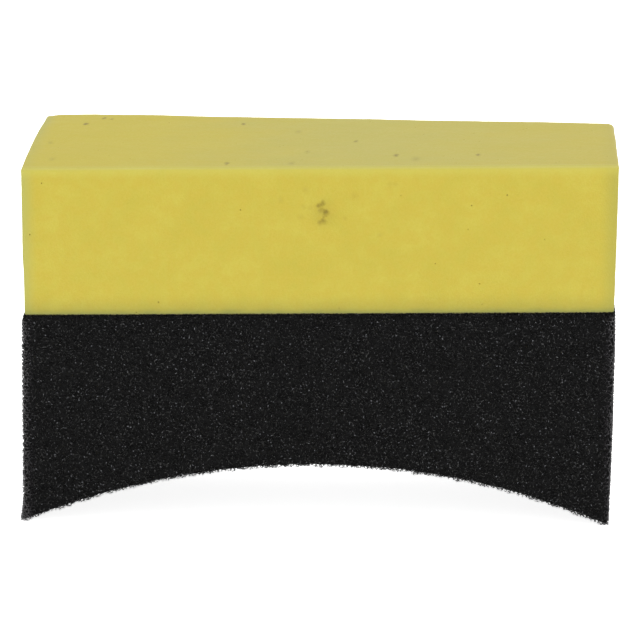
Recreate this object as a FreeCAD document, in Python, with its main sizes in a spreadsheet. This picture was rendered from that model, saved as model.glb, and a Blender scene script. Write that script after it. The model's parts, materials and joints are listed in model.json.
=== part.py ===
"""Contoured foam applicator block: a dense foam grip glued to a coarse open-cell pad with an arched face.

Units are millimetres. The block stands on the two tips of its arch: X runs along its length, Y through
its depth, Z up. The origin is on the resting plane, under the middle of the block.
"""

import FreeCAD
import Part
import math
import os
import Sketcher

SHEET = "Dimensions"
XY = "XY_Plane"
XZ = "XZ_Plane"

# Driving dimensions: alias, value, meaning.
DIMENSIONS = [
    ("block_length", 152.0, "length of grip and pad, a six inch block"),
    ("block_depth", 70.0, "depth of grip and pad, what the hand closes round"),
    ("grip_height", 37.7, "height of the dense foam grip"),
    ("edge_radius", 0.8, "softened cut edges of the grip"),
    ("film_thickness", 0.3, "dried contact adhesive between the two foams"),
    ("film_inset", 0.4, "how far the adhesive stops short of the outer faces"),
    ("pad_height", 55.0, "height of the coarse foam pad at its tips"),
    ("arch_rise", 15.0, "height of the arch at its middle, above the tips"),
    ("tip_width", 1.2, "blunt flat left at each tip of the arch"),
]

START, END, CENTRE = 1, 2, 3
ROOT_POINT = (-1, 1)
X_AXIS, Y_AXIS = -1, -2


def make_sheet(doc):
    """The spreadsheet that holds every driving dimension, one row each."""
    sheet = doc.addObject("Spreadsheet::Sheet", SHEET)
    for row, (alias, value, meaning) in enumerate(DIMENSIONS, start=1):
        sheet.set(f"A{row}", alias)
        sheet.set(f"B{row}", str(value))
        sheet.set(f"C{row}", meaning)
        sheet.setAlias(f"B{row}", alias)
    doc.recompute()
    return sheet


def make_body(doc, name):
    """An empty body whose label is the sub-part's name."""
    body = doc.addObject("PartDesign::Body", name)
    body.Label = name
    return body


def make_sketch(body, name, plane_role):
    """An empty sketch on one of the body's own origin planes."""
    sketch = body.newObject("Sketcher::SketchObject", name)
    plane = next(f for f in body.Origin.OriginFeatures if f.Role == plane_role)
    sketch.AttachmentSupport = (plane, [""])
    sketch.MapMode = "FlatFace"
    return sketch


def dimension(sketch, name, constraint, expression):
    """Adds a named dimension to the sketch and binds it to the spreadsheet."""
    index = sketch.addConstraint(constraint)
    sketch.renameConstraint(index, name)
    sketch.setExpression(f".Constraints.{name}", expression)


def line(x0, y0, x1, y1):
    return Part.LineSegment(FreeCAD.Vector(x0, y0, 0), FreeCAD.Vector(x1, y1, 0))


def centred_rectangle(body, name, sheet, inset=0.0, inset_term=""):
    """A rectangle round the origin, as long and deep as the block less an inset on every side."""
    half_x = sheet.block_length / 2 - inset
    half_y = sheet.block_depth / 2 - inset
    sketch = make_sketch(body, name, XY)
    corners = [(-half_x, -half_y), (half_x, -half_y), (half_x, half_y), (-half_x, half_y)]
    for here, there in zip(corners, corners[1:] + corners[:1]):
        sketch.addGeometry(line(*here, *there))
    front, right, back, left = range(4)
    for side, following in ((front, right), (right, back), (back, left), (left, front)):
        sketch.addConstraint(Sketcher.Constraint("Coincident", side, END, following, START))
    for side in (front, back):
        sketch.addConstraint(Sketcher.Constraint("Horizontal", side))
    for side in (right, left):
        sketch.addConstraint(Sketcher.Constraint("Vertical", side))
    middle = Sketcher.Constraint("Symmetric", front, START, back, START, *ROOT_POINT)
    sketch.addConstraint(middle)
    across = Sketcher.Constraint("DistanceX", front, START, front, END, 2 * half_x)
    dimension(sketch, "across", across, f"{SHEET}.block_length{inset_term}")
    through = Sketcher.Constraint("DistanceY", right, START, right, END, 2 * half_y)
    dimension(sketch, "through", through, f"{SHEET}.block_depth{inset_term}")
    return sketch


def arch_radius(sheet):
    """Radius of the circle through the arch's crown and both its feet."""
    reach = sheet.block_length / 2 - sheet.tip_width
    return (reach**2 + sheet.arch_rise**2) / (2 * sheet.arch_rise)


def arch_profile(body, sheet):
    """The pad seen from the front: flat top, upright ends, and an arch between two blunt tips."""
    half = sheet.block_length / 2
    reach = half - sheet.tip_width
    rise = sheet.arch_rise
    top = sheet.pad_height
    radius = arch_radius(sheet)
    circle = Part.Circle(FreeCAD.Vector(0, rise - radius, 0), FreeCAD.Vector(0, 0, 1), radius)
    half_angle = math.asin(reach / radius)

    sketch = make_sketch(body, "arch_profile", XZ)
    left_side = sketch.addGeometry(line(-half, top, -half, 0))
    left_tip = sketch.addGeometry(line(-half, 0, -reach, 0))
    arch = sketch.addGeometry(
        Part.ArcOfCircle(circle, math.pi / 2 - half_angle, math.pi / 2 + half_angle)
    )
    right_tip = sketch.addGeometry(line(reach, 0, half, 0))
    right_side = sketch.addGeometry(line(half, 0, half, top))
    top_edge = sketch.addGeometry(line(half, top, -half, top))

    joins = [
        (left_side, END, left_tip, START),
        (left_tip, END, arch, END),
        (arch, START, right_tip, START),
        (right_tip, END, right_side, START),
        (right_side, END, top_edge, START),
        (top_edge, END, left_side, START),
    ]
    for join in joins:
        sketch.addConstraint(Sketcher.Constraint("Coincident", *join))
    sketch.addConstraint(Sketcher.Constraint("Vertical", left_side))
    sketch.addConstraint(Sketcher.Constraint("Vertical", right_side))
    sketch.addConstraint(Sketcher.Constraint("Horizontal", left_tip))
    sketch.addConstraint(Sketcher.Constraint("Horizontal", right_tip))
    sketch.addConstraint(Sketcher.Constraint("Horizontal", top_edge))
    sketch.addConstraint(Sketcher.Constraint("PointOnObject", left_tip, START, X_AXIS))
    sketch.addConstraint(Sketcher.Constraint("PointOnObject", arch, CENTRE, Y_AXIS))
    corners = Sketcher.Constraint("Symmetric", left_tip, START, right_tip, END, Y_AXIS)
    sketch.addConstraint(corners)

    across = Sketcher.Constraint("DistanceX", top_edge, END, top_edge, START, 2 * half)
    dimension(sketch, "across", across, f"{SHEET}.block_length")
    height = Sketcher.Constraint("DistanceY", right_side, START, right_side, END, top)
    dimension(sketch, "height", height, f"{SHEET}.pad_height")
    tip = Sketcher.Constraint("DistanceX", left_tip, START, left_tip, END, sheet.tip_width)
    dimension(sketch, "tip", tip, f"{SHEET}.tip_width")
    reach_term = f"({SHEET}.block_length / 2 - {SHEET}.tip_width)"
    radius_term = f"({reach_term} ^ 2 + {SHEET}.arch_rise ^ 2) / (2 * {SHEET}.arch_rise)"
    dimension(sketch, "arch_radius", Sketcher.Constraint("Radius", arch, radius), radius_term)
    return sketch


def pad_sketch(body, sketch, name, length_term, symmetric=False):
    """Extrudes a sketch, upwards from its plane or evenly to both sides of it."""
    pad = body.newObject("PartDesign::Pad", name)
    pad.Profile = sketch
    pad.SideType = "Symmetric" if symmetric else "One side"
    pad.setExpression("Length", length_term)
    sketch.Visibility = False
    return pad


def soften_edges(doc, body, pad):
    """Rounds every edge of the grip except the four that lie in the glue line."""
    doc.recompute()
    loose = [
        f"Edge{number}"
        for number, edge in enumerate(pad.Shape.Edges, start=1)
        if edge.CenterOfMass.z > Part.Precision.confusion()
    ]
    fillet = body.newObject("PartDesign::Fillet", "softened_edges")
    fillet.Base = (pad, loose)
    fillet.setExpression("Radius", f"{SHEET}.edge_radius")
    return fillet


def raise_body(body, height_term):
    """Stands the body at a height above the resting plane."""
    body.Placement = FreeCAD.Placement()
    body.setExpression("Placement.Base.z", height_term)


def make_applicator_pad(doc, sheet):
    """Coarse open-cell foam that holds the dressing, arched to sit round a tyre's wall."""
    body = make_body(doc, "applicator_pad")
    profile = arch_profile(body, sheet)
    pad_sketch(body, profile, "arched_block", f"{SHEET}.block_depth", symmetric=True)
    return body


def make_adhesive_film(doc, sheet):
    """The thin dried layer of contact adhesive that joins the two foams."""
    body = make_body(doc, "adhesive_film")
    inset = sheet.film_inset
    outline = centred_rectangle(body, "film_outline", sheet, inset, f" - 2 * {SHEET}.film_inset")
    pad_sketch(body, outline, "film_layer", f"{SHEET}.film_thickness")
    raise_body(body, f"{SHEET}.pad_height")
    return body


def make_grip_block(doc, sheet):
    """Dense fine-cell foam block that the hand holds."""
    body = make_body(doc, "grip_block")
    outline = centred_rectangle(body, "grip_outline", sheet)
    pad = pad_sketch(body, outline, "grip_slab", f"{SHEET}.grip_height")
    soften_edges(doc, body, pad)
    raise_body(body, f"{SHEET}.pad_height + {SHEET}.film_thickness")
    return body


def arch_area(sheet):
    """Area under the arch, between the tips: a circular segment."""
    radius = arch_radius(sheet)
    angle = 2 * math.asin((sheet.block_length / 2 - sheet.tip_width) / radius)
    return radius**2 * (angle - math.sin(angle)) / 2


def check_document(doc):
    """Stops the build if any object failed or any sketch can still move."""
    for obj in doc.Objects:
        bad = {"Invalid", "Error"} & set(obj.State)
        if bad:
            raise RuntimeError(f"{obj.Name} is {sorted(bad)}")
        if obj.isDerivedFrom("Sketcher::SketchObject") and not obj.FullyConstrained:
            raise RuntimeError(f"sketch {obj.Name} isn't fully constrained")


def check_part(body, low_volume, high_volume):
    """Stops the build if a sub-part is empty, invalid, or not about as large as its sizes say."""
    shape = body.Shape
    if shape.isNull() or not shape.isValid() or len(shape.Solids) != 1:
        raise RuntimeError(f"{body.Label} isn't one valid solid")
    if not low_volume <= shape.Volume <= high_volume:
        raise RuntimeError(f"{body.Label} has volume {shape.Volume:.0f}")


def check_volumes(sheet, pad, film, grip):
    """Compares each sub-part's volume with its sizes. The grip loses a little at its rounded edges."""
    small = 1.0
    footprint = sheet.block_length * sheet.block_depth
    pad_front = sheet.block_length * sheet.pad_height - arch_area(sheet)
    pad_volume = pad_front * sheet.block_depth
    check_part(pad, pad_volume - small, pad_volume + small)
    inset = 2 * sheet.film_inset
    film_area = (sheet.block_length - inset) * (sheet.block_depth - inset)
    film_volume = film_area * sheet.film_thickness
    check_part(film, film_volume - small, film_volume + small)
    slab = footprint * sheet.grip_height
    rounded_length = 2 * (sheet.block_length + sheet.block_depth) + 4 * sheet.grip_height
    lost = rounded_length * sheet.edge_radius**2 / 4
    check_part(grip, slab - lost, slab - small)


def main():
    doc = FreeCAD.newDocument("foam_applicator")
    sheet = make_sheet(doc)
    pad = make_applicator_pad(doc, sheet)
    film = make_adhesive_film(doc, sheet)
    grip = make_grip_block(doc, sheet)
    doc.recompute()
    check_document(doc)
    check_volumes(sheet, pad, film, grip)
    os.makedirs("parts", exist_ok=True)
    for body in (pad, film, grip):
        body.Shape.exportStep(f"parts/{body.Label}.step")
        box = body.Shape.BoundBox
        print(
            f"{body.Label}: x {box.XMin:.2f}..{box.XMax:.2f}, y {box.YMin:.2f}..{box.YMax:.2f}, "
            f"z {box.ZMin:.2f}..{box.ZMax:.2f}, volume {body.Shape.Volume / 1000:.2f} cm3"
        )


main()
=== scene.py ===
"""The looks of a foam tyre dressing applicator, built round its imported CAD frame.

Lengths are metres, written as millimetres times MM, and every place is worked out from the CAD boxes. The
object is two foams: a dense yellow grip, and a black pad whose open cells are real struts over a dark core.
"""

import json
import math

import bpy
import numpy as np
from mathutils import Matrix, Vector


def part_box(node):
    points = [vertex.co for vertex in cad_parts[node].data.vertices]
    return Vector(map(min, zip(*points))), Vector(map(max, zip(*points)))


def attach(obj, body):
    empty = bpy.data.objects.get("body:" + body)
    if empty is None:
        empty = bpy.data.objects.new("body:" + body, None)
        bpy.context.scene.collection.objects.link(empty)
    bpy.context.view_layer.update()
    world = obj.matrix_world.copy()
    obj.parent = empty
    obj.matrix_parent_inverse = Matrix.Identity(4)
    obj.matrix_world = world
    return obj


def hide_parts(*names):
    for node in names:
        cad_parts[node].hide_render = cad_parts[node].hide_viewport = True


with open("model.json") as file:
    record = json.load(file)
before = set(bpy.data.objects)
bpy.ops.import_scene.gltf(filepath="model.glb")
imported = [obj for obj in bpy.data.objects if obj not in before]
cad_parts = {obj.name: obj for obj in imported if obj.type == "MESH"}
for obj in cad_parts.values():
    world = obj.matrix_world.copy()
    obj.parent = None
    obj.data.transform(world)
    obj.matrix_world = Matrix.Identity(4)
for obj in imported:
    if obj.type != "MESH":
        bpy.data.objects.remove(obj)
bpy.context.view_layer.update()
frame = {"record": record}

MM = 0.001
BODY = "root"

GRIP_LOW, GRIP_HIGH = (np.array(corner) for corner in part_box("grip_block"))
FILM_LOW, FILM_HIGH = (np.array(corner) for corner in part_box("adhesive_film"))
PAD_LOW, PAD_HIGH = (np.array(corner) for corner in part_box("applicator_pad"))
HALF_LENGTH = PAD_HIGH[0]
HALF_DEPTH = PAD_HIGH[1]
TIP_WIDTH = 1.2 * MM
ARCH_RISE = next(m["pos_m"][2] for m in frame["record"]["mounts"] if m["name"] == "tyre_arch")
ARCH_REACH = HALF_LENGTH - TIP_WIDTH
ARCH_RADIUS = (ARCH_REACH**2 + ARCH_RISE**2) / (2 * ARCH_RISE)

# ---------------------------------------------------------------- numbers and noise


def rolling_noise(points, wavelength, seed, waves=14):
    """Smooth noise between about -1 and 1: a sum of plane waves in random directions."""
    rng = np.random.default_rng(seed)
    direction = unit(rng.normal(size=(waves, points.shape[1])))
    number = 2 * math.pi / (wavelength * rng.uniform(0.7, 1.5, waves))
    phase = rng.uniform(0, 2 * math.pi, waves)
    return np.sin(points @ (direction * number[:, None]).T + phase).sum(1) / math.sqrt(waves)


def smooth_step(value, low, high):
    """0 below low, 1 above high, and a smooth ramp between."""
    share = np.clip((value - low) / (high - low), 0, 1)
    return share * share * (3 - 2 * share)


def unit(vectors):
    """Vectors scaled to length 1; those of no length stay as they are."""
    return vectors / np.maximum(np.linalg.norm(vectors, axis=-1, keepdims=True), 1e-12)


def arch_height(x):
    """Height of the arched underside above the tips, at x along the block."""
    inside = ARCH_RADIUS**2 - np.minimum(np.abs(x), ARCH_REACH) ** 2
    return np.sqrt(inside) - (ARCH_RADIUS - ARCH_RISE)


# ---------------------------------------------------------------- the hand-cut block's own shape

# The glue line and the top climb to the right by these slopes, and lie these lengths higher than in the CAD.
GLUE_TILT = 0.0113
TOP_TILT = 0.0098
GLUE_RISE = 0.12 * MM
TOP_RISE = 0.38 * MM
# How far each end is shifted to the right, at a few heights.
GRIP_LEVELS = np.array([56, 64, 71, 93]) * MM
GRIP_LEFT = np.array([0.52, 0.47, 0.2, 0.0]) * MM
GRIP_RIGHT = np.array([0.0, 0.25, 0.49, 0.98]) * MM
PAD_LEVELS = np.array([0, 5, 21, 48, 53, 55]) * MM
PAD_LEFT = np.array([-1.2, -0.55, -0.42, -0.35, -0.25, 0.15]) * MM
PAD_RIGHT = np.array([-0.85, -0.7, -0.1, 0.42, 0.4, 0.35]) * MM
LEFT_BULGE = 0.46 * MM  # at the middle of the depth
RIGHT_TAPER = 0.2 * MM  # at the back
# How far the back corners droop, and over what length: twice at the left end, once at the right.
LEFT_DROOPS = ((0.3 * MM, 14 * MM), (0.45 * MM, 4.5 * MM))
RIGHT_DROOPS = ((0.5 * MM, 1.6 * MM),)
# How much higher the top's back edge lies than its front edge, at each end.
BACK_RISE_LEFT = 4.03 * MM
BACK_RISE_RIGHT = 0.47 * MM


def lean(points, levels, left, right):
    """Points moved as the block's ends lean and its layers tilt: the foam was cut by hand, not square."""
    moved = points.copy()
    share = (points[:, 0] / HALF_LENGTH + 1) / 2
    at_left = np.interp(points[:, 2], levels, left)
    at_right = np.interp(points[:, 2], levels, right)
    moved[:, 0] += at_left * (1 - share) + at_right * share
    depth = points[:, 1] / HALF_DEPTH
    moved[:, 0] -= LEFT_BULGE * (1 - depth**2) * (1 - share)
    moved[:, 0] -= RIGHT_TAPER * (1 + depth) / 2 * share
    layers = [0, PAD_HIGH[2], GRIP_HIGH[2]]
    moved[:, 2] += points[:, 0] * np.interp(points[:, 2], layers, [0, GLUE_TILT, TOP_TILT])
    moved[:, 2] += np.interp(points[:, 2], layers, [0, GLUE_RISE, TOP_RISE])
    return moved


def lean_pad(points):
    """The pad's own lean."""
    return lean(points, PAD_LEVELS, PAD_LEFT, PAD_RIGHT)


def lean_grip(points):
    """The grip's own lean, with its back edge raised and its back corners drooping."""
    moved = lean(points, GRIP_LEVELS, GRIP_LEFT, GRIP_RIGHT)
    height = (points[:, 2] - GRIP_LOW[2]) / (GRIP_HIGH[2] - GRIP_LOW[2])
    back = (points[:, 1] / HALF_DEPTH + 1) / 2
    right = (points[:, 0] / HALF_LENGTH + 1) / 2
    rise = BACK_RISE_LEFT * (1 - right) + BACK_RISE_RIGHT * right
    for side, droops in ((-1, LEFT_DROOPS), (1, RIGHT_DROOPS)):
        for droop, reach in droops:
            rise -= droop * smooth_step(points[:, 0] * side, HALF_LENGTH - reach, HALF_LENGTH)
    moved[:, 2] += rise * back * np.clip(height, 0, 1)
    return moved


# ---------------------------------------------------------------- meshes


def mesh_object(name, vertices, faces, materials, smooth=True):
    """A mesh object from a vertex array and a list of face arrays, with a material for each face array."""
    mesh = bpy.data.meshes.new(name)
    loops = np.concatenate([f.ravel() for f in faces]).astype(np.int32)
    sides = np.concatenate([np.full(len(f), f.shape[1]) for f in faces]).astype(np.int32)
    starts = np.concatenate([[0], np.cumsum(sides)[:-1]]).astype(np.int32)
    mesh.vertices.add(len(vertices))
    mesh.vertices.foreach_set("co", np.asarray(vertices, np.float32).ravel())
    mesh.loops.add(len(loops))
    mesh.loops.foreach_set("vertex_index", loops)
    mesh.polygons.add(len(sides))
    mesh.polygons.foreach_set("loop_start", starts)
    mesh.polygons.foreach_set("use_smooth", np.full(len(sides), smooth))
    slots = np.concatenate([np.full(len(f), i) for i, f in enumerate(faces)]).astype(np.int32)
    mesh.polygons.foreach_set("material_index", slots)
    for material in materials:
        mesh.materials.append(material)
    mesh.update(calc_edges=True)
    obj = bpy.data.objects.new(name, mesh)
    bpy.context.scene.collection.objects.link(obj)
    return obj


def box_lattice(counts):
    """The closed quad skin of a box lattice: integer vertex places, and faces that look outwards."""
    places = {}
    faces = []
    for axis in range(3):
        along, across = (axis + 1) % 3, (axis + 2) % 3
        for side in (0, counts[axis]):
            for i in range(counts[along]):
                for j in range(counts[across]):
                    quad = []
                    for di, dj in ((0, 0), (1, 0), (1, 1), (0, 1)):
                        place = [0, 0, 0]
                        place[axis], place[along], place[across] = side, i + di, j + dj
                        quad.append(places.setdefault(tuple(place), len(places)))
                    faces.append(quad if side else quad[::-1])
    return np.array(list(places)), np.array(faces)


def line_places(count, length, edge, edge_steps=3):
    """Lattice lines from 0 to length, with a few close ones in each end's rounded edge."""
    ends = np.linspace(0, edge, edge_steps + 1)[:-1]
    middle = np.linspace(edge, length - edge, count - 2 * edge_steps + 1)
    return np.concatenate([ends, middle, length - ends[::-1]])


def rounded_box(low, high, spacing, radius):
    """A closed box with rounded edges in even quads: vertices and faces."""
    size = high - low
    counts = [max(8, round(s / spacing)) for s in size]
    places, faces = box_lattice(counts)
    lines = [line_places(n, s, radius) for n, s in zip(counts, size)]
    points = np.stack([lines[a][places[:, a]] for a in range(3)], 1) + low
    inner = np.clip(points, low + radius, high - radius)
    return inner + unit(points - inner) * radius, faces


# ---------------------------------------------------------------- open cells

CELL = 1.25 * MM  # side of the lattice cube that holds two bubbles of the foam
QUARTERS = 4  # places are counted in quarters of that cube
LATTICE_TURN = Matrix.Rotation(0.55, 3, "X") @ Matrix.Rotation(0.4, 3, "Y") @ Matrix.Rotation(0.3, 3, "Z")
LATTICE_MARGIN = 1.6 * CELL  # cubes as far as this outside the modelled skin can still reach into it
BEND = 0.5 * MM  # how far the lattice is bent, in waves of the next size
BEND_SIZE = 8 * MM
SHAKE = 0.1 * CELL  # how far each bubble corner is moved on its own
KEY_SPAN = 4096  # more than the lattice's places along any axis
STRUT_RADII = (0.055 * MM, 0.09 * MM)
MISSING_SHARE = 0.1  # of the struts
SKIN_DEPTH = 0.6 * MM  # how deep the struts are modelled, below each cut face
TOP_GAP = 0.02 * MM  # between the struts and the glue
# The blade wanders along the arch, and leaves ragged ends: longer ones on the arch than on the sides.
ARCH_WANDER = 0.18 * MM
ARCH_WANDER_SIZE = 2.4 * MM
ARCH_RAGGED = 0.2 * MM
SIDE_RAGGED = 0.08 * MM
PIECE_STRUTS = 26000  # at most, in one piece
CORE_DEPTH = 0.52 * MM
CORE_RISE = 0.62 * MM  # from the arch up to the core
CORE_SPACING = 0.9 * MM
CORE_EDGE = 0.4 * MM
CORE_ROUGHNESS = 0.2 * MM
CORE_CALM = 0.3 * MM  # the layer under the glue that stays level
FACES = ("left", "right", "front", "back", "arch")
ARCH_FACE = FACES.index("arch")


def face_depths(points):
    """How far points are inside each cut face of the pad, one column for each of FACES."""
    x, y, z = points.T
    round_arch = np.hypot(x, z + ARCH_RADIUS - ARCH_RISE) - ARCH_RADIUS
    arch = np.minimum(round_arch, z)
    return np.stack([HALF_LENGTH + x, HALF_LENGTH - x, HALF_DEPTH + y, HALF_DEPTH - y, arch], 1)


def bubble_edges():
    """The 24 struts of one lattice cube, as the places of both ends in quarters of the cube.

    The bubbles are truncated octahedra, which fill space. Each corner has one odd quarter, one 0 and one 2.
    """
    corners = []
    for axis in range(3):
        for quarter in (1, 3):
            for others in ((0, 2), (2, 0)):
                corners.append(np.insert(others, axis, quarter))
    shifts = QUARTERS * (np.indices((3, 3, 3)).reshape(3, -1).T - 1)
    edges = []
    for corner in corners:
        for other in (np.array(corners)[:, None] + shifts).reshape(-1, 3):
            step = other - corner
            if step @ step == 2 and tuple(step) > (0, 0, 0):
                edges.append((corner, other))
    return np.array(edges)


def lattice_ends():
    """The struts near the pad's cut faces: a row of places for each end, in quarters of a lattice cube."""
    turn = np.array(LATTICE_TURN)
    middle = PAD_HIGH[2] / 2
    corners = np.array([[x, y, z] for x in (-1, 1) for y in (-1, 1) for z in (-1, 1)])
    reach = np.abs(corners * [HALF_LENGTH, HALF_DEPTH, middle] @ turn).max(0)
    counts = np.ceil(reach / CELL).astype(int) + 1
    cubes = np.indices(2 * counts).reshape(3, -1).T - counts
    centres = (cubes + 0.5) * CELL @ turn.T + [0, 0, middle]
    depths = face_depths(centres)
    near = (depths.min(1) > -LATTICE_MARGIN) & (depths.min(1) < SKIN_DEPTH + LATTICE_MARGIN)
    near &= centres[:, 2] < PAD_HIGH[2] + LATTICE_MARGIN
    return (cubes[near][:, None, None] * QUARTERS + bubble_edges()).reshape(-1, 2, 3)


def place_corners(ends):
    """Bubble corners in space: the lattice is turned, bent and shaken, so that no rows show."""
    half_span = KEY_SPAN // 2
    steps = np.array([KEY_SPAN**2, KEY_SPAN, 1])
    unique, member = np.unique((ends + half_span) @ steps, return_inverse=True)
    quarters = unique[:, None] // steps % KEY_SPAN - half_span
    points = quarters * CELL / QUARTERS @ np.array(LATTICE_TURN).T + [0, 0, PAD_HIGH[2] / 2]
    bend = np.stack([rolling_noise(points, BEND_SIZE, seed) for seed in (31, 32, 33)], 1)
    rng = np.random.default_rng(34)
    points = points + bend * BEND + rng.normal(scale=SHAKE, size=points.shape)
    return points, member.reshape(ends.shape[:2])


def cut_struts():
    """The struts that a blade leaves standing: what prisms() takes for each, and the face it stands on."""
    points, member = place_corners(lattice_ends())
    depths = face_depths(points)
    depths[:, ARCH_FACE] += ARCH_WANDER * rolling_noise(points, ARCH_WANDER_SIZE, 35)
    inside = np.minimum(depths.min(1), PAD_HIGH[2] - points[:, 2] - TOP_GAP)
    here, there = inside[member].T
    least_deep = depths.min(1)[member].min(1)
    rng = np.random.default_rng(36)
    kept = (np.maximum(here, there) > 0) & (least_deep < SKIN_DEPTH)
    kept &= rng.random(len(member)) > MISSING_SHARE
    member, here, there = member[kept], here[kept], there[kept]
    outer = np.where(here < there, member[:, 0], member[:, 1])
    face = depths.argmin(1)[outer]
    ragged = rng.uniform(0, 1, len(member)) * np.where(face == ARCH_FACE, ARCH_RAGGED, SIDE_RAGGED)
    swap = here < there
    member[swap] = member[swap][:, ::-1]
    here, there = np.maximum(here, there), np.minimum(here, there)
    share = np.where(there < -ragged, (here + ragged) / np.maximum(here - there, 1e-9), 1)
    start = points[member[:, 0]]
    finish = start + (points[member[:, 1]] - start) * share[:, None]
    radius = rng.uniform(*STRUT_RADII, (len(member), 2))
    roll = rng.uniform(0, 2 * math.pi, len(member))
    loose_start = np.zeros(len(member), bool)
    return (start, finish, radius, roll, loose_start, share < 1), face


def prisms(start, finish, radius, roll, loose_start, loose_finish):
    """A three-sided prism along each strut, closed at its loose ends: vertices, quads and triangles."""
    along = unit(finish - start)
    upright = np.abs(along[:, 2:]) > 0.9
    helper = np.where(upright, [[1.0, 0.0, 0.0]], [[0.0, 0.0, 1.0]])
    first = unit(np.cross(along, helper))
    second = np.cross(along, first)
    angle = (roll[:, None] + np.arange(3) * (2 * math.pi / 3))[..., None]
    ring = np.cos(angle) * first[:, None] + np.sin(angle) * second[:, None]
    near = start[:, None] + ring * radius[:, :1, None]
    far = finish[:, None] + ring * radius[:, 1:, None]
    vertices = np.concatenate([near, far], 1).reshape(-1, 3)
    base = np.arange(len(start))[:, None] * 6
    quads = np.concatenate([base + [0, 1, 4, 3], base + [1, 2, 5, 4], base + [2, 0, 3, 5]])
    caps = np.concatenate([base[loose_start] + [2, 1, 0], base[loose_finish] + [3, 4, 5]])
    return vertices, quads, caps


def make_pad_cells(material):
    """The open cells of the pad's cut faces, each face in pieces of a handy size."""
    struts, face = cut_struts()
    made = []
    for number, name in enumerate(FACES):
        along = 1 if name in ("left", "right") else 0
        members = np.flatnonzero(face == number)
        members = members[np.argsort(struts[0][members, along], kind="stable")]
        pieces = math.ceil(len(members) / PIECE_STRUTS)
        for part, chosen in enumerate(np.array_split(members, pieces)):
            vertices, quads, caps = prisms(*(values[chosen] for values in struts))
            piece_name = f"pad_cells_{name}_{part + 1}"
            groups = [quads, caps]
            made.append(mesh_object(piece_name, lean_pad(vertices), groups, [material] * 2, smooth=False))
    return made


def make_pad_core(material):
    """The foam behind the modelled cells, too deep to see into: an uneven block, whose material is painted
    dark as the shade deep in the foam.
    """
    low = PAD_LOW + np.array([CORE_DEPTH, CORE_DEPTH, 0])
    high = PAD_HIGH - np.array([CORE_DEPTH, CORE_DEPTH, 0])
    points, faces = rounded_box(low, high, CORE_SPACING, CORE_EDGE)
    floor = arch_height(points[:, 0]) + CORE_RISE
    share = points[:, 2] / PAD_HIGH[2]
    points[:, 2] = floor + share * (PAD_HIGH[2] - floor)
    rng = np.random.default_rng(21)
    shift = rng.uniform(-1, 1, points.shape) * CORE_ROUGHNESS
    shift[:, 2] *= points[:, 2] < PAD_HIGH[2] - CORE_CALM
    return mesh_object("pad_core", lean_pad(points + shift), [faces], [material], smooth=False)


# ---------------------------------------------------------------- grip and glue

GRIP_SPACING = 0.8 * MM
GRIP_EDGE = 0.8 * MM
GLUE_SPACING = 0.7 * MM
GLUE_EDGE = 0.12 * MM
# Waves in the grip's faces, and the squeezed-out edge of the glue: height, size and seed of each noise.
GRIP_WAVES = ((0.05 * MM, 22 * MM, 42), (0.02 * MM, 3 * MM, 43))
GLUE_WAVES = ((0.15 * MM, 4 * MM, 51), (0.08 * MM, 1.5 * MM, 52))
CALM_FOOT = 2 * MM  # the grip's waves fade out over this height above the glue
# Pinholes seen on the front, as places along and up, and on the top, as places along and back.
FRONT_PINHOLES = (
    (-20, 82), (-70.6, 88.7), (-41, 58), (-47, 55.9), (-74.3, 76), (39, 83), (38, 76.5), (58, 74), (41, 62.5),
    (30, 68), (48, 86), (21, 86), (5, 56.2), (42, 57.6),
)
TOP_PINHOLES = (
    (-60.4, 28.9), (-58.2, 28), (-22.6, 23.8), (-3.9, -14), (19.2, -19), (-23.9, -29.5), (45.3, -25.6),
)
LOOSE_PINHOLES = 130
PINHOLE_RADII = (0.07 * MM, 0.17 * MM)
PINHOLE_DEPTH = 1.6  # of the radius
PINHOLE_TAPER = 0.6  # the floor's size, of the rim's
ROOMY_SHARE = 0.7  # of the spacing: a pinhole needs a quad whose shortest side is longer
# Soft brown marks on the front: a strength, then places along and up with a size each.
FRONT_MARKS = (
    (1.0, ((2.1, 81.5, 0.8),)),
    (0.7, ((1.4, 84.1, 0.6), (0.9, 83.6, 0.6), (0.4, 83.2, 0.65), (1.5, 79.4, 0.75))),
    (0.55, ((0.9, 82.2, 0.85), (0.7, 79.0, 0.65), (1.6, 80.4, 0.5))),
    (0.18, ((1.3, 81.5, 2.6),)),
    (0.14, ((-3.4, 83.1, 0.6), (-1.9, 82.7, 0.6), (-4.3, 80.5, 0.7), (7, 80.1, 0.5), (9.5, 85.9, 0.8))),
    (0.14, ((18.6, 88.9, 0.6), (19.9, 88.9, 0.6), (-2.9, 87.5, 0.7), (-9.3, 84.7, 0.6), (16.1, 76, 0.6))),
)
# The same on the top: a strength, then places along and back with a size each.
TOP_MARKS = (
    (1.0, ((-64.1, 20.8, 0.5), (-59.9, 28.9, 0.4), (-57.7, 28, 0.35), (-22.1, 23.8, 0.5))),
    (1.0, ((8.7, 1.4, 0.45), (19.7, -19, 0.55), (40.9, -17.7, 0.45), (-23.4, -29.5, 0.5), (30.5, 34.9, 0.4))),
    (0.3, ((-68.9, -24.1, 0.6), (-71.4, -2.6, 0.6), (-7.1, 14.3, 0.7))),
    (0.3, ((-6.8, -30.1, 0.7), (24.9, -23.8, 0.9), (-3.4, -14, 0.6))),
)
DARK_MARKS = FRONT_MARKS[0][1] + FRONT_MARKS[1][1] + FRONT_MARKS[2][1]
HOLLOW_DEPTH = 0.3 * MM
HOLLOW_REACH = 1.3  # of a dark mark's size
MARK_REACH = 2.0  # of a mark's size: where its soft edge ends
MARK_CORE = -0.2 * MM  # where its full strength would begin
ON_FRONT = (1, 0, 1)
ON_TOP = (1, 0.35, 0)  # marks on the top are three times as long from front to back


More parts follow.
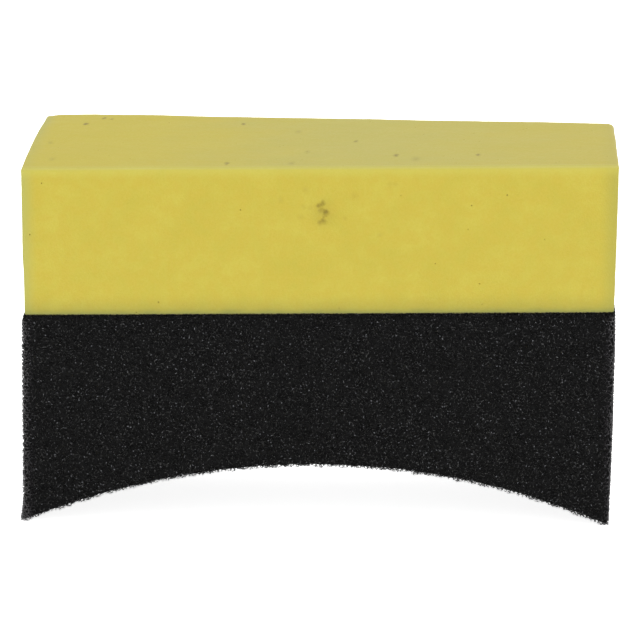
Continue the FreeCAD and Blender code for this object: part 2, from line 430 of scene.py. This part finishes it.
def punch(points, faces, chosen, radius, depth):
    """Small open pits, each cut into one quad: an eight-sided rim, a narrower ring below it and a floor."""
    corners = points[faces[chosen]]
    centre = corners.mean(1, keepdims=True)
    normal = unit(np.cross(corners[:, 2] - corners[:, 0], corners[:, 3] - corners[:, 1]))[:, None]
    first = unit(corners[:, :1] - centre)
    second = np.cross(normal, first)
    turn = (np.arange(8) * math.pi / 4)[:, None]
    ring = np.cos(turn) * first + np.sin(turn) * second
    rim = centre + ring * radius[:, None, None]
    bottom = centre + PINHOLE_TAPER * ring * radius[:, None, None] - normal * depth[:, None, None]
    rim_at = len(points) + np.arange(len(chosen))[:, None] * 16 + np.arange(8)
    bottom_at = rim_at + 8
    pentagons, walls = [], []
    for side in range(4):
        here, there = faces[chosen, side], faces[chosen, (side + 1) % 4]
        inner = [rim_at[:, (2 * side + step) % 8] for step in (2, 1, 0)]
        pentagons.append(np.stack([here, there, *inner], 1))
    for side in range(8):
        after = (side + 1) % 8
        wall = [rim_at[:, side], rim_at[:, after], bottom_at[:, after], bottom_at[:, side]]
        walls.append(np.stack(wall, 1))
    points = np.concatenate([points, np.concatenate([rim, bottom], 1).reshape(-1, 3)])
    kept = np.delete(faces, chosen, axis=0)
    return points, [kept, np.concatenate(pentagons), np.concatenate(walls), bottom_at]


def pinhole_faces(points, faces):
    """The quads that hold a pinhole: those nearest the places seen, and some at random all round."""
    corners = points[faces]
    middles = corners.mean(1)
    shortest = np.linalg.norm(corners - np.roll(corners, 1, axis=1), axis=2).min(1)
    roomy = np.flatnonzero(shortest > ROOMY_SHARE * GRIP_SPACING)
    wanted = [(x * MM, GRIP_LOW[1], z * MM) for x, z in FRONT_PINHOLES]
    wanted += [(x * MM, y * MM, GRIP_HIGH[2]) for x, y in TOP_PINHOLES]
    seen = [roomy[np.linalg.norm(middles[roomy] - place, axis=1).argmin()] for place in wanted]
    rng = np.random.default_rng(41)
    hidden = roomy[middles[roomy, 1] > -HALF_DEPTH + GRIP_EDGE]
    hidden = hidden[middles[hidden, 2] > GRIP_LOW[2] + GRIP_EDGE]
    loose = rng.choice(hidden, LOOSE_PINHOLES, replace=False)
    return np.unique(np.concatenate([seen, loose]))


def stacked_noise(points, waves):
    """The sum of several rolling noises, each given by its height, size and seed."""
    return sum(height * rolling_noise(points, size, seed) for height, size, seed in waves)


def uneven_skin(points):
    """A cut foam's faces: shallow waves, and a small torn hollow where the front is stained."""
    centre = (GRIP_LOW + GRIP_HIGH) / 2
    reach = (GRIP_HIGH - GRIP_LOW) / 2
    outward = unit((points - centre) / reach * (np.abs(points - centre) > reach - GRIP_EDGE))
    free = smooth_step(points[:, 2] - GRIP_LOW[2], 0, CALM_FOOT)
    moved = points + outward * (stacked_noise(points, GRIP_WAVES) * free)[:, None]
    for x, z, size in DARK_MARKS:
        away = np.hypot(points[:, 0] - x * MM, points[:, 2] - z * MM)
        hollow = (points[:, 1] < 0) * (1 - smooth_step(away, 0, HOLLOW_REACH * size * MM))
        moved[:, 1] += HOLLOW_DEPTH * hollow
    return moved


def make_grip(foam, pinhole):
    """The grip's foam, sharp along the glue line and rounded elsewhere, with its pinholes cut in."""
    points, faces = rounded_box(GRIP_LOW - [0, 0, GRIP_EDGE], GRIP_HIGH, GRIP_SPACING, GRIP_EDGE)
    points[:, 2] = np.maximum(points[:, 2], GRIP_LOW[2])
    chosen = pinhole_faces(points, faces)
    rng = np.random.default_rng(44)
    points = uneven_skin(points)
    radius = rng.uniform(*PINHOLE_RADII, len(chosen))
    points, groups = punch(points, faces, chosen, radius, radius * PINHOLE_DEPTH)
    return mesh_object("grip_foam", lean_grip(points), groups, [foam, foam, pinhole, pinhole])


def make_glue(material):
    """The thin glue layer, squeezed out unevenly along its edge."""
    points, faces = rounded_box(FILM_LOW, FILM_HIGH, GLUE_SPACING, GLUE_EDGE)
    at_edge = np.abs(points) > FILM_HIGH * 0.999
    outward = unit(points * [1, 1, 0] * at_edge)
    moved = points + outward * stacked_noise(points, GLUE_WAVES)[:, None]
    return mesh_object("glue_line", lean_grip(moved), [faces], [material])


# ---------------------------------------------------------------- materials

# Colours as linear red, green, blue and alpha. A pair is mixed by noise, or runs from left to right.
YELLOWS = ((0.408, 0.34, 0.034, 1), (0.438, 0.367, 0.043, 1))
WARM_YELLOW = (0.43, 0.337, 0.033, 1)
GRAIN_YELLOW = (0.386, 0.33, 0.039, 1)
PORE_YELLOW = (0.3, 0.256, 0.03, 1)
# The top's own yellows, less blue at the left, and a greyer, bluer colour near its middle that is painted
# sheen.
TOP_YELLOWS = ((0.44, 0.37, 0.012, 1), (0.405, 0.345, 0.03, 1))
TOP_SHEEN_GREY = (0.375, 0.35, 0.07, 1)
# Greyer, slightly darker ends: partly painted shade of the rounded ends, partly dust.
SHADED_DUSTY_ENDS = ((0.35, 0.342, 0.079, 1), (0.345, 0.305, 0.045, 1))
# Painted light on the grip's long top edges: a wide band of painted sheen and a narrow painted highlight.
EDGE_SHEEN_BAND = (0.445, 0.405, 0.068, 1)
EDGE_HIGHLIGHT = (0.485, 0.45, 0.16, 1)
# Painted shade above the glue line, with some real soiling.
OLIVE_SHADE_AND_SOIL = (0.155, 0.17, 0.036, 1)
MARK_BROWN = (0.13, 0.088, 0.004, 1)
# Painted shade inside the pinholes.
PINHOLE_SHADES = ((0.2, 0.15, 0.018, 1), (0.34, 0.27, 0.032, 1))
GLUES = ((0.012, 0.011, 0.007, 1), (0.16, 0.14, 0.03, 1))
# Painted shade: the core's blacks, darker than the struts', stand for deep foam out of the light.
DEEP_SHADE_BLACKS = ((0.0015, 0.0015, 0.0016, 1), (0.011, 0.011, 0.0115, 1))
# The struts' blacks: the lighter one paints glints in flecks.
STRUT_BLACKS_AND_GLINTS = ((0.0047, 0.0047, 0.0046, 1), (0.036, 0.036, 0.0355, 1))
DUSTY_BLACK = (0.037, 0.033, 0.038, 1)
WORN_GREY = (0.11, 0.107, 0.11, 1)
# Painted glints: small bright dots in the struts' colour.
GLINT_GREY = (0.24, 0.245, 0.265, 1)
SOAKED_BLACK = (0.003, 0.0028, 0.002, 1)
PAPERS = ((0.89, 0.89, 0.89, 1), (0.91, 0.91, 0.91, 1))
WHITE = (1, 1, 1, 1)
FINE_CELL = 0.45 * MM  # across the grip's closed cells


class Nodes:
    """A material's node tree, with short calls to add nodes and links."""

    def __init__(self, name):
        self.material = bpy.data.materials.new(name)
        self.material.use_nodes = True
        self.tree = self.material.node_tree
        self.shader = self.tree.nodes["Principled BSDF"]
        self.place = self.add("ShaderNodeTexCoord").outputs["Object"]

    def add(self, kind, **settings):
        """A new node with these settings."""
        node = self.tree.nodes.new(kind)
        for key, value in settings.items():
            setattr(node, key, value)
        return node

    def feed(self, socket, value):
        """A link or a plain value into a socket."""
        if isinstance(value, bpy.types.NodeSocket):
            self.tree.links.new(value, socket)
        else:
            socket.default_value = value

    def math(self, operation, first, second=0.0):
        """A math node's result."""
        node = self.add("ShaderNodeMath", operation=operation)
        self.feed(node.inputs[0], first)
        self.feed(node.inputs[1], second)
        return node.outputs[0]

    def ramp(self, value, low, high, low_result=0.0, high_result=1.0, kind="SMOOTHSTEP"):
        """value from low to high turned into low_result to high_result, smoothly unless kind is LINEAR."""
        node = self.add("ShaderNodeMapRange", interpolation_type=kind)
        for socket, number in zip(node.inputs, (value, low, high, low_result, high_result)):
            self.feed(socket, number)
        return node.outputs[0]

    def mix(self, share, first, second):
        """The first colour where share is 0, and the second where it is 1."""
        node = self.add("ShaderNodeMix", data_type="RGBA")
        self.feed(node.inputs["Factor"], share)
        self.feed(node.inputs[6], first)
        self.feed(node.inputs[7], second)
        return node.outputs[2]

    def tint(self, colour, other, where, amount):
        """colour turned towards other by amount, as far as where says."""
        return self.mix(self.math("MULTIPLY", where, amount), colour, other)

    def noise(self, size, detail=2.0, roughness=0.5):
        """Noise whose features are about size metres across, from 0 to 1."""
        node = self.add("ShaderNodeTexNoise")
        self.feed(node.inputs["Vector"], self.place)
        self.feed(node.inputs["Scale"], 1 / size)
        self.feed(node.inputs["Detail"], detail)
        self.feed(node.inputs["Roughness"], roughness)
        return node.outputs["Fac"]

    def wander(self, size, detail, swing):
        """A length that strays either way by up to half of swing, in patches size metres across."""
        return self.math("MULTIPLY", self.math("SUBTRACT", self.noise(size, detail), 0.5), swing)

    def cells(self, size, feature="F1"):
        """Distance to the nearest point, or to the nearest cell wall, of cells size metres across."""
        node = self.add("ShaderNodeTexVoronoi", feature=feature)
        self.feed(node.inputs["Vector"], self.place)
        self.feed(node.inputs["Scale"], 1 / size)
        return node.outputs["Distance"]

    def glints(self, size, share, reach):
        """1 in small dots, 0 elsewhere: the middles of a share of cells size metres across."""
        node = self.add("ShaderNodeTexVoronoi", feature="F1")
        self.feed(node.inputs["Vector"], self.place)
        self.feed(node.inputs["Scale"], 1 / size)
        lucky = self.math("GREATER_THAN", self.separate(node.outputs["Color"])[0], 1 - share)
        close = self.ramp(node.outputs["Distance"], 2.2 * reach, reach)
        return self.math("MULTIPLY", lucky, close)

    def separate(self, colour):
        """The red, green and blue of a colour."""
        node = self.add("ShaderNodeSeparateColor")
        self.feed(node.inputs[0], colour)
        return node.outputs

    def axes(self):
        """The X, Y and Z of the place on the object."""
        node = self.add("ShaderNodeSeparateXYZ")
        self.feed(node.inputs[0], self.place)
        return node.outputs

    def bump(self, height, distance, strength=1.0, before=None):
        """A normal for the relief of height, laid over an earlier relief if there is one."""
        node = self.add("ShaderNodeBump")
        self.feed(node.inputs["Height"], height)
        self.feed(node.inputs["Distance"], distance)
        self.feed(node.inputs["Strength"], strength)
        if before:
            self.feed(node.inputs["Normal"], before)
        return node.outputs["Normal"]

    def finish(self, **sockets):
        """The material, with these values on its shader's sockets."""
        for name, value in sockets.items():
            self.feed(self.shader.inputs[name.replace("_", " ")], value)
        return self.material


def above_glue(n):
    """Height above the tilted glue line."""
    axes = n.axes()
    glue = n.math("ADD", n.math("MULTIPLY", axes["X"], GLUE_TILT), GRIP_LOW[2] + GLUE_RISE)
    return n.math("SUBTRACT", axes["Z"], glue)


def below_top(n):
    """Depth below the grip's uneven top, whose back edge rises to the left."""
    axes = n.axes()
    right = n.ramp(axes["X"], -HALF_LENGTH, HALF_LENGTH, kind="LINEAR")
    back = n.ramp(axes["Y"], -HALF_DEPTH, HALF_DEPTH, kind="LINEAR")
    rise = n.ramp(right, 0.0, 1.0, BACK_RISE_LEFT, BACK_RISE_RIGHT, kind="LINEAR")
    front = n.math("ADD", n.math("MULTIPLY", axes["X"], TOP_TILT), GRIP_HIGH[2] + TOP_RISE)
    return n.math("SUBTRACT", n.math("ADD", front, n.math("MULTIPLY", rise, back)), axes["Z"])


def edge_nearness(n, reach):
    """1 on the grip's long top edges, falling to 0 at reach away from them."""
    over = n.ramp(n.math("ABSOLUTE", n.axes()["Y"]), HALF_DEPTH - reach, HALF_DEPTH)
    up = n.ramp(below_top(n), reach, 0.0)
    return n.math("MULTIPLY", over, up)


def end_nearness(n):
    """1 just past the grip's two ends, falling to 0 at 4.5 mm inside them."""
    return n.ramp(n.math("ABSOLUTE", n.axes()["X"]), HALF_LENGTH - 4.5 * MM, HALF_LENGTH + 0.5 * MM)


def marks(n, groups, shown):
    """The strength of soft marks, 0 away from them; shown scales the axes they are measured on."""
    flat = n.add("ShaderNodeVectorMath", operation="MULTIPLY")
    n.feed(flat.inputs[0], n.place)
    n.feed(flat.inputs[1], shown)
    wander = n.wander(1.0 * MM, 3.0, 1.5 * MM)
    total = 0.0
    for strength, places in groups:
        for first, second, size in places:
            spot = (first, 0, second) if shown == ON_FRONT else (first, second * shown[1], 0)
            away = n.add("ShaderNodeVectorMath", operation="DISTANCE")
            n.feed(away.inputs[0], flat.outputs[0])
            n.feed(away.inputs[1], [length * MM for length in spot])
            ragged = n.math("ADD", away.outputs["Value"], wander)
            near = n.ramp(ragged, MARK_REACH * size * MM, MARK_CORE, 0.0, strength)
            total = n.math("MAXIMUM", total, near)
    return total


def all_marks(n):
    """The strength of the grip's brown marks, on its front and on its top."""
    axes = n.axes()
    on_front = n.ramp(axes["Y"], -HALF_DEPTH + 2.5 * MM, -HALF_DEPTH + 1.5 * MM)
    on_top = n.ramp(below_top(n), 1.5 * MM, 0.8 * MM)
    on_top = n.math("MULTIPLY", on_top, n.ramp(axes["Y"], HALF_DEPTH - 0.1 * MM, HALF_DEPTH - 0.4 * MM))
    front = n.math("MULTIPLY", marks(n, FRONT_MARKS, ON_FRONT), on_front)
    top = n.math("MULTIPLY", marks(n, TOP_MARKS, ON_TOP), on_top)
    return n.math("MAXIMUM", front, top)


def foam_yellow(n, grain):
    """The foam's own colour: mottled and warmer in patches, with fine grain and closed pores."""
    colour = n.mix(n.ramp(n.noise(9 * MM, 3.0), 0.32, 0.68), *YELLOWS)
    colour = n.tint(colour, WARM_YELLOW, n.ramp(n.noise(3.5 * MM, 3.0), 0.35, 0.65), 0.8)
    colour = n.tint(colour, GRAIN_YELLOW, grain, 0.2)
    return n.tint(colour, PORE_YELLOW, n.ramp(n.cells(FINE_CELL), 0.28, 0.12), 0.25)


def sheen_top_and_shaded_ends(n, colour):
    """The top in its own colours, greyer and bluer near the middle as painted sheen, and greyer ends that are
    partly painted shade; both shift from left to right.
    """
    on_top = n.ramp(below_top(n), 1.0 * MM, 0.0)
    to_right = n.ramp(n.axes()["X"], -HALF_LENGTH, HALF_LENGTH)
    # Painted sheen: the top turns greyer and bluer towards a wandering patch near its middle.
    from_middle = n.math("ABSOLUTE", n.math("SUBTRACT", n.axes()["X"], 12 * MM))
    sheen_middle = n.ramp(n.math("ADD", from_middle, n.wander(14 * MM, 4.0, 60 * MM)), 62 * MM, 2 * MM)
    top_colour = n.mix(sheen_middle, n.mix(to_right, *TOP_YELLOWS), TOP_SHEEN_GREY)
    colour = n.tint(colour, top_colour, on_top, 0.5)
    # Painted shade with some dust: the ends turn greyer, less so on the top.
    ends = n.math("MULTIPLY", end_nearness(n), n.ramp(on_top, 0.0, 1.0, 0.9, 0.35))
    return n.mix(ends, colour, n.mix(to_right, *SHADED_DUSTY_ENDS))


def shade_and_soiling(n):
    """How dark the grip's foot is painted towards the glue line: painted shade and dark bounced light from
    the black pad, with some glue and dust; a wide faint band and a narrow strong one.
    """
    height = n.math("ADD", above_glue(n), n.wander(5 * MM, 4.0, 1.2 * MM))
    wide = n.math("POWER", n.ramp(height, 6.9 * MM, -0.1 * MM), 1.8)
    narrow = n.ramp(height, 1.6 * MM, -0.4 * MM)
    return n.math("ADD", n.math("MULTIPLY", wide, 0.4), n.math("MULTIPLY", narrow, 0.5))


def grip_material():
    """Dense yellow sponge with fine closed cells, a soiled foot, a few brown marks, and painted sheen,
    highlight and shade.
    """
    n = Nodes("dense_yellow_foam")
    grain = n.ramp(n.noise(0.7 * MM, 4.0, 0.7), 0.3, 0.7)
    colour = sheen_top_and_shaded_ends(n, foam_yellow(n, grain))
    # Painted sheen and a painted highlight along the long top edges.
    colour = n.tint(colour, EDGE_SHEEN_BAND, edge_nearness(n, 3.4 * MM), 0.7)
    colour = n.tint(colour, EDGE_HIGHLIGHT, edge_nearness(n, 0.8 * MM), 0.6)
    # The foot: painted shade near the black pad, with some soiling.
    colour = n.mix(shade_and_soiling(n), colour, OLIVE_SHADE_AND_SOIL)
    colour = n.tint(colour, MARK_BROWN, all_marks(n), 0.9)
    relief = n.bump(n.noise(0.9 * MM, 4.0, 0.65), 0.06 * MM, 0.5)
    relief = n.bump(n.cells(FINE_CELL), 0.06 * MM, 0.5, relief)
    n.shader.inputs["Sheen Weight"].default_value = 0.12
    n.shader.inputs["Sheen Roughness"].default_value = 0.4
    n.shader.inputs["Specular IOR Level"].default_value = 0.5
    return n.finish(Base_Color=colour, Roughness=n.ramp(grain, 0.0, 1.0, 0.78, 0.95), Normal=relief)


def pinhole_material():
    """The insides of burst bubbles in the grip, painted darker brown as the shade in the pits."""
    n = Nodes("grip_pinhole")
    pit_shade = n.ramp(n.noise(0.5 * MM), 0.3, 0.7)
    colour = n.mix(pit_shade, *PINHOLE_SHADES)
    return n.finish(Base_Color=colour, Roughness=0.95, Normal=n.bump(n.noise(0.2 * MM), 0.05 * MM, 0.5))


def glue_material():
    """Dried contact glue with black crumbs of foam in it."""
    n = Nodes("dried_glue")
    crumbs = n.ramp(n.noise(0.8 * MM, 4.0, 0.7), 0.4, 0.6)
    colour = n.mix(crumbs, *GLUES)
    rough = n.ramp(crumbs, 0.0, 1.0, 0.8, 0.4)
    return n.finish(Base_Color=colour, Roughness=rough, Normal=n.bump(crumbs, 0.1 * MM, 0.6))


def core_material():
    """The dark inside of the pad, painted darker than the struts' own black as the shade of struts far from
    the light, seen as a faint net lit in patches.
    """
    n = Nodes("deep_foam_painted_shade")
    net = n.ramp(n.cells(0.8 * MM, "DISTANCE_TO_EDGE"), 0.14, 0.03)
    # Painted light: the net is brighter in patches.
    light = n.ramp(n.noise(1.5 * MM, 3.0), 0.35, 0.7)
    colour = n.mix(n.math("MULTIPLY", net, light), *DEEP_SHADE_BLACKS)
    n.shader.inputs["Specular IOR Level"].default_value = 0.15
    return n.finish(Base_Color=colour, Roughness=0.8, Normal=n.bump(net, 0.3 * MM, 1.0))


def strut_material():
    """Black polyurethane with painted glints, bright dots in its colour, and a shine that rises with them:
    dusty at the ends and soaked with glue on top.
    """
    n = Nodes("black_foam_struts")
    along = n.math("ABSOLUTE", n.axes()["X"])
    across = n.math("ABSOLUTE", n.axes()["Y"])
    # Flecks of lighter colour are painted glints; the real shine rises in the same flecks.
    glint_fleck = n.ramp(n.noise(0.42 * MM, 1.0), 0.5, 0.7)
    colour = n.mix(glint_fleck, *STRUT_BLACKS_AND_GLINTS)
    dusty = n.ramp(along, HALF_LENGTH - 3.2 * MM, HALF_LENGTH - 1.0 * MM)
    colour = n.tint(colour, DUSTY_BLACK, dusty, 0.6)
    at_end = n.ramp(along, HALF_LENGTH - 1.8 * MM, HALF_LENGTH - 0.2 * MM)
    at_face = n.ramp(across, HALF_DEPTH - 2.5 * MM, HALF_DEPTH - 0.8 * MM)
    colour = n.tint(colour, WORN_GREY, n.math("MULTIPLY", at_end, at_face), 0.7)
    # Painted glints: bright grey dots.
    colour = n.mix(n.glints(0.7 * MM, 0.25, 0.16), colour, GLINT_GREY)
    colour = n.tint(colour, SOAKED_BLACK, n.ramp(above_glue(n), -2.0 * MM, -1.2 * MM), 0.85)
    shine = n.ramp(glint_fleck, 0.0, 1.0, 0.1, 0.7)
    rough = n.ramp(n.noise(0.5 * MM, 2.0), 0.36, 0.6, 0.2, 0.55)
    bumps = n.bump(n.noise(0.16 * MM), 0.04 * MM, 0.7)
    return n.finish(Base_Color=colour, Roughness=rough, Specular_IOR_Level=shine, Normal=bumps)


# ---------------------------------------------------------------- scene

# The camera, as fitted to the outline in the photo. It looks a little past the middle of the block.
AZIMUTH = math.radians(2.42)
ELEVATION = math.radians(10.78)
ROLL = math.radians(0.06)
DISTANCE = 1.316
SHIFT_LEFT = 0.82 * MM
SHIFT_UP = 0.47 * MM
LENS = 280.6
LIT_PLACE = (0, 0, 0.04)  # where the lights point
SKY_STRENGTH = 0.9
FLOOR_GLOW = 0.88
FLOOR_REACH = 6


def make_camera():
    """The photograph's view: a long lens, a little above the block and a little to its right."""
    centre = Vector((0, 0, GRIP_HIGH[2] / 2))
    right = Vector((math.cos(AZIMUTH), math.sin(AZIMUTH), 0))
    level = Vector((-math.sin(AZIMUTH), math.cos(AZIMUTH), 0))
    forward = level * math.cos(ELEVATION) - Vector((0, 0, math.sin(ELEVATION)))
    up = level * math.sin(ELEVATION) + Vector((0, 0, math.cos(ELEVATION)))
    place = centre - forward * DISTANCE - right * SHIFT_LEFT + up * SHIFT_UP
    right, up = right * math.cos(ROLL) - up * math.sin(ROLL), right * math.sin(ROLL) + up * math.cos(ROLL)
    data = bpy.data.cameras.new("camera")
    data.lens = LENS
    data.sensor_width = 36
    data.clip_start = 0.05
    data.clip_end = 50
    camera = bpy.data.objects.new("camera", data)
    bpy.context.scene.collection.objects.link(camera)
    axes = Matrix((right, up, -forward)).transposed()
    camera.matrix_world = Matrix.Translation(place) @ axes.to_4x4()
    bpy.context.scene.camera = camera


def area_light(name, place, size, watts):
    """A rectangular softbox that points at the object."""
    data = bpy.data.lights.new(name, "AREA")
    data.shape = "RECTANGLE"
    data.size, data.size_y = size
    data.energy = watts
    light = bpy.data.objects.new(name, data)
    bpy.context.scene.collection.objects.link(light)
    light.location = place
    aim = Vector(LIT_PLACE) - Vector(place)
    light.rotation_mode = "QUATERNION"
    light.rotation_quaternion = aim.to_track_quat("-Z", "Y")


def paper_material():
    """Bright paper lit from below, so that only faint soft shadows lie on it."""
    n = Nodes("studio_paper")
    colour = n.mix(n.ramp(n.noise(3 * MM, 3.0), 0.0, 1.0), *PAPERS)
    n.shader.inputs["Emission Color"].default_value = WHITE
    n.shader.inputs["Emission Strength"].default_value = FLOOR_GLOW
    return n.finish(Base_Color=colour, Roughness=0.9)


def make_studio():
    """White surroundings, two softboxes and a paper floor."""
    world = bpy.data.worlds.new("studio")
    world.use_nodes = True
    world.node_tree.nodes["Background"].inputs["Color"].default_value = WHITE
    world.node_tree.nodes["Background"].inputs["Strength"].default_value = SKY_STRENGTH
    bpy.context.scene.world = world
    area_light("front_softbox", place=(-0.5, -2.2, 0.85), size=(1.6, 1.0), watts=4)
    area_light("top_softbox", place=(0.2, 0.1, 1.8), size=(1.5, 1.5), watts=14)
    corners = np.array([[-1, -1, 0], [1, -1, 0], [1, 1, 0], [-1, 1, 0]]) * FLOOR_REACH
    floor = mesh_object("studio_floor", corners, [np.array([[0, 1, 2, 3]])], [paper_material()])
    bpy.context.scene.view_settings.view_transform = "Standard"


def place_piece(piece, node):
    """A piece rides on the one body, and stands for a CAD node."""
    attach(piece, BODY)
    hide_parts(node)


make_camera()
make_studio()
grip = make_grip(grip_material(), pinhole_material())
place_piece(grip, "grip_block")
place_piece(make_glue(glue_material()), "adhesive_film")
core = make_pad_core(core_material())
place_piece(core, "applicator_pad")
for piece in make_pad_cells(strut_material()):
    place_piece(piece, "applicator_pad")
